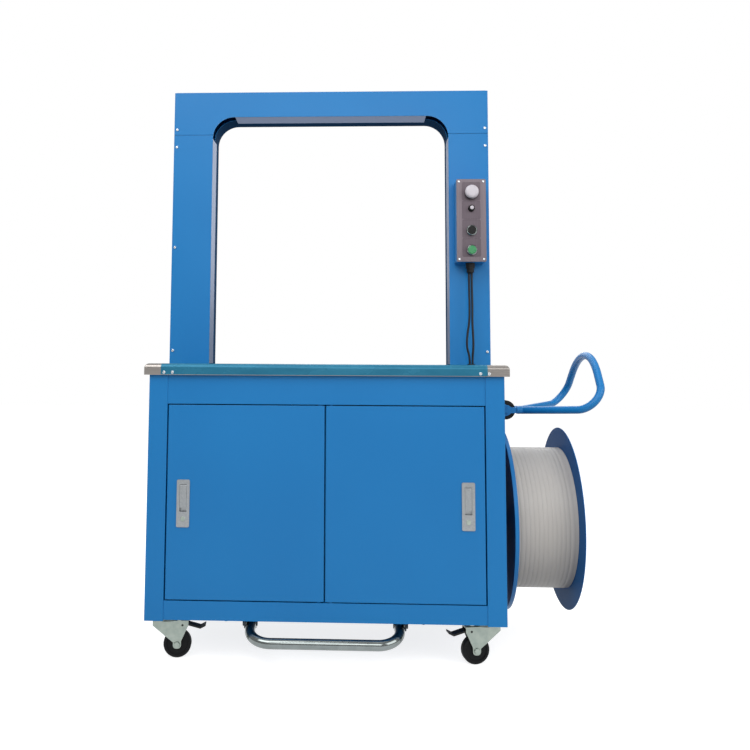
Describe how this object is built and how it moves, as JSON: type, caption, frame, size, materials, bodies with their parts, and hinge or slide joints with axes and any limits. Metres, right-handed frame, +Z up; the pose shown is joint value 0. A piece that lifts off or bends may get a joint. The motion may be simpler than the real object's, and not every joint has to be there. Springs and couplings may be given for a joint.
{
  "type": "automatic arch strapping machine",
  "caption": "Floor-standing arch strapping machine: blue cabinet with doors on castors, steel table, strap arch, control box, side strap reel with dancer arm, and foot bar.",
  "frame": {"origin": "on the floor under the middle of the cabinet", "axes": "+X to the operator's right, towards the strap reel; +Y back, away from the operator; +Z up"},
  "size_m": [1.2841, 0.609, 1.6395],
  "materials": {
    "blue_paint": "satin powder coat",
    "stainless_table": "brushed, with a blue film over its middle",
    "ground_steel": "ground",
    "bright_screws": "bright plated",
    "plated_gates": "dull plated",
    "brushed_faceplate": "brushed",
    "chrome_trim": "bright plated",
    "white_button": "gloss",
    "black_plastic": "satin",
    "green_button": "gloss",
    "cable_sheath": "satin",
    "zinc_plate": "zinc plated",
    "satin_nickel": "tumbled and nickel plated",
    "black_steel": "blackened",
    "wheel_rubber": "satin",
    "pedal_plastic": "satin",
    "strap_plastic": "embossed strap, satin",
    "pool_sheet": "satin",
    "motor_paint": "satin",
    "grey_enamel": "satin"
  },
  "bodies": {
    "cabinet": {"base_frame": "blue_paint", "left_side_panel": "blue_paint", "right_side_panel": "blue_paint", "front_apron": "blue_paint", "rear_panel": "blue_paint", "table_top": "stainless_table", "anvil_plate": "ground_steel", "arch_channel": "blue_paint", "arch_cover_left": "blue_paint", "arch_cover_right": "blue_paint", "arch_cover_top": "blue_paint", "cover_screws": "bright_screws", "control_box": "blue_paint", "control_faceplate": "brushed_faceplate", "button_bezels": "chrome_trim", "cable_glands": "black_plastic", "control_cables": "cable_sheath", "foot_bar_brackets": "black_steel", "castor_plates": "zinc_plate", "reel_spindle": "zinc_plate", "arm_bracket": "blue_paint", "mains_gland": "chrome_trim", "sealing_head": "ground_steel", "strap_pool_box": "pool_sheet", "drive_motor": "motor_paint", "electric_box": "grey_enamel"},
    "left_door": {"left_door": "blue_paint", "left_latch_plate": "satin_nickel"},
    "left_latch_lever": {"left_latch_lever": "satin_nickel"},
    "left_lock_cam": {"left_lock_cam": "zinc_plate"},
    "right_door": {"right_door": "blue_paint", "right_latch_plate": "satin_nickel"},
    "right_latch_lever": {"right_latch_lever": "satin_nickel"},
    "right_lock_cam": {"right_lock_cam": "zinc_plate"},
    "stop_button": {"stop_button": "white_button"},
    "black_button": {"black_button": "black_plastic"},
    "green_button": {"green_button": "green_button"},
    "tension_knob": {"tension_knob": "black_plastic"},
    "castor_fork_front_left": {"castor_fork_front_left": "zinc_plate"},
    "castor_wheel_front_left": {"castor_wheel_front_left": "wheel_rubber"},
    "brake_pedal_front_left": {"brake_pedal_front_left": "pedal_plastic"},
    "castor_fork_front_right": {"castor_fork_front_right": "zinc_plate"},
    "castor_wheel_front_right": {"castor_wheel_front_right": "wheel_rubber"},
    "brake_pedal_front_right": {"brake_pedal_front_right": "pedal_plastic"},
    "castor_fork_rear_left": {"castor_fork_rear_left": "zinc_plate"},
    "castor_wheel_rear_left": {"castor_wheel_rear_left": "wheel_rubber"},
    "castor_fork_rear_right": {"castor_fork_rear_right": "zinc_plate"},
    "castor_wheel_rear_right": {"castor_wheel_rear_right": "wheel_rubber"},
    "foot_bar": {"foot_bar": "chrome_trim"},
    "reel": {"reel_flange_inner": "blue_paint", "reel_flange_outer": "blue_paint", "strap_coil": "strap_plastic", "reel_nut": "black_plastic"},
    "reel_arm": {"reel_arm": "blue_paint"},
    "guide_roller": {"guide_roller": "black_plastic"},
    "left_gate": {"left_gate": "plated_gates"},
    "right_gate": {"right_gate": "plated_gates"},
    "top_gate": {"top_gate": "plated_gates"},
    "feed_roller": {"feed_roller": "ground_steel"},
    "pinch_roller": {"pinch_roller": "ground_steel"}
  },
  "joints": [
    {"name": "left_door_hinge", "type": "hinge", "parent": "cabinet", "child": "left_door", "pos_m": [-0.016, -0.271, 0], "axis": [0, 0, 1], "range_deg": [0, 80]},
    {"name": "left_lever_pull", "type": "hinge", "parent": "left_door", "child": "left_latch_lever", "pos_m": [-0.382, -0.2779, 0.4677], "axis": [-1, 0, 0], "range_deg": [0, 45]},
    {"name": "left_lock_turn", "type": "hinge", "parent": "left_door", "child": "left_lock_cam", "pos_m": [-0.382, -0.2822, 0.381], "axis": [0, -1, 0], "range_deg": [0, 90]},
    {"name": "right_door_hinge", "type": "hinge", "parent": "cabinet", "child": "right_door", "pos_m": [0.016, -0.271, 0], "axis": [0, 0, -1], "range_deg": [0, 80]},
    {"name": "right_lever_pull", "type": "hinge", "parent": "right_door", "child": "right_latch_lever", "pos_m": [0.382, -0.2779, 0.4677], "axis": [-1, 0, 0], "range_deg": [0, 45]},
    {"name": "right_lock_turn", "type": "hinge", "parent": "right_door", "child": "right_lock_cam", "pos_m": [0.382, -0.2822, 0.381], "axis": [0, 1, 0], "range_deg": [0, 90]},
    {"name": "stop_button_press", "type": "slide", "parent": "cabinet", "child": "stop_button", "axis": [0, 1, 0], "range_m": [0, 0.004], "stiffness_N_per_m": 300, "springref_m": -0.004},
    {"name": "black_button_press", "type": "slide", "parent": "cabinet", "child": "black_button", "axis": [0, 1, 0], "range_m": [0, 0.004], "stiffness_N_per_m": 300, "springref_m": -0.004},
    {"name": "green_button_press", "type": "slide", "parent": "cabinet", "child": "green_button", "axis": [0, 1, 0], "range_m": [0, 0.004], "stiffness_N_per_m": 300, "springref_m": -0.004},
    {"name": "tension_knob_turn", "type": "hinge", "parent": "cabinet", "child": "tension_knob", "pos_m": [0.422, -0.108, 1.2586], "axis": [0, 1, 0], "range_deg": [-140, 140]},
    {"name": "front_left_swivel", "type": "hinge", "parent": "cabinet", "child": "castor_fork_front_left", "pos_m": [-0.429, -0.22, 0.1], "axis": [0, 0, 1], "continuous": true},
    {"name": "front_left_roll", "type": "hinge", "parent": "castor_fork_front_left", "child": "castor_wheel_front_left", "pos_m": [-0.40314, -0.21728, 0.0375], "axis": [-0.1045, 0.9945, 0], "continuous": true},
    {"name": "front_left_brake", "type": "hinge", "parent": "castor_fork_front_left", "child": "brake_pedal_front_left", "pos_m": [-0.38922, -0.21582, 0.088], "axis": [-0.1045, 0.9945, 0], "range_deg": [0, 10]},
    {"name": "front_right_swivel", "type": "hinge", "parent": "cabinet", "child": "castor_fork_front_right", "pos_m": [0.429, -0.22, 0.1], "axis": [0, 0, 1], "continuous": true},
    {"name": "front_right_roll", "type": "hinge", "parent": "castor_fork_front_right", "child": "castor_wheel_front_right", "pos_m": [0.4034, -0.22451, 0.0375], "axis": [0.1736, -0.9848, 0], "continuous": true},
    {"name": "front_right_brake", "type": "hinge", "parent": "castor_fork_front_right", "child": "brake_pedal_front_right", "pos_m": [0.38961, -0.22695, 0.088], "axis": [0.1736, -0.9848, 0], "range_deg": [0, 10]},
    {"name": "rear_left_swivel", "type": "hinge", "parent": "cabinet", "child": "castor_fork_rear_left", "pos_m": [-0.429, 0.22, 0.1], "axis": [0, 0, 1], "continuous": true},
    {"name": "rear_left_roll", "type": "hinge", "parent": "castor_fork_rear_left", "child": "castor_wheel_rear_left", "pos_m": [-0.40457, 0.22889, 0.0375], "axis": [-0.342, 0.9397, 0], "continuous": true},
    {"name": "rear_right_swivel", "type": "hinge", "parent": "cabinet", "child": "castor_fork_rear_right", "pos_m": [0.429, 0.22, 0.1], "axis": [0, 0, 1], "continuous": true},
    {"name": "rear_right_roll", "type": "hinge", "parent": "castor_fork_rear_right", "child": "castor_wheel_rear_right", "pos_m": [0.40389, 0.22673, 0.0375], "axis": [-0.2588, -0.9659, 0], "continuous": true},
    {"name": "foot_bar_press", "type": "hinge", "parent": "cabinet", "child": "foot_bar", "pos_m": [0, -0.215, 0.093], "axis": [1, 0, 0], "range_deg": [0, 8], "stiffness_Nm_per_rad": 20, "springref_deg": -11.46},
    {"name": "reel_spin", "type": "hinge", "parent": "cabinet", "child": "reel", "pos_m": [0.6, 0.01, 0.347], "axis": [1, 0, 0], "continuous": true},
    {"name": "arm_swing", "type": "hinge", "parent": "cabinet", "child": "reel_arm", "pos_m": [0.535, 0.01, 0.662], "axis": [0, 1, 0], "range_deg": [0, 20], "stiffness_Nm_per_rad": 12, "springref_deg": -34.38},
    {"name": "guide_roller_spin", "type": "hinge", "parent": "cabinet", "child": "guide_roller", "pos_m": [0.535, 0.01, 0.662], "axis": [0, 1, 0], "continuous": true},
    {"name": "left_gate_flap", "type": "hinge", "parent": "cabinet", "child": "left_gate", "pos_m": [-0.3655, 0.0235, 1.139], "axis": [0, 0, 1], "range_deg": [0, 20], "stiffness_Nm_per_rad": 2, "springref_deg": -20.05},
    {"name": "right_gate_flap", "type": "hinge", "parent": "cabinet", "child": "right_gate", "pos_m": [0.3655, 0.0235, 1.139], "axis": [0, 0, -1], "range_deg": [0, 20], "stiffness_Nm_per_rad": 2, "springref_deg": -20.05},
    {"name": "top_gate_flap", "type": "hinge", "parent": "cabinet", "child": "top_gate", "pos_m": [0, 0.0235, 1.563], "axis": [1, 0, 0], "range_deg": [0, 20], "stiffness_Nm_per_rad": 2, "springref_deg": -20.05},
    {"name": "feed_spin", "type": "hinge", "parent": "cabinet", "child": "feed_roller", "pos_m": [0.215, 0.01, 0.715], "axis": [0, 1, 0], "continuous": true},
    {"name": "pinch_spin", "type": "hinge", "parent": "cabinet", "child": "pinch_roller", "pos_m": [0.215, 0.01, 0.6657], "axis": [0, 1, 0], "continuous": true}
  ],
  "couplings": [
    {"joint": "pinch_spin", "follows": "feed_spin", "ratio": -1.5789}
  ]
}
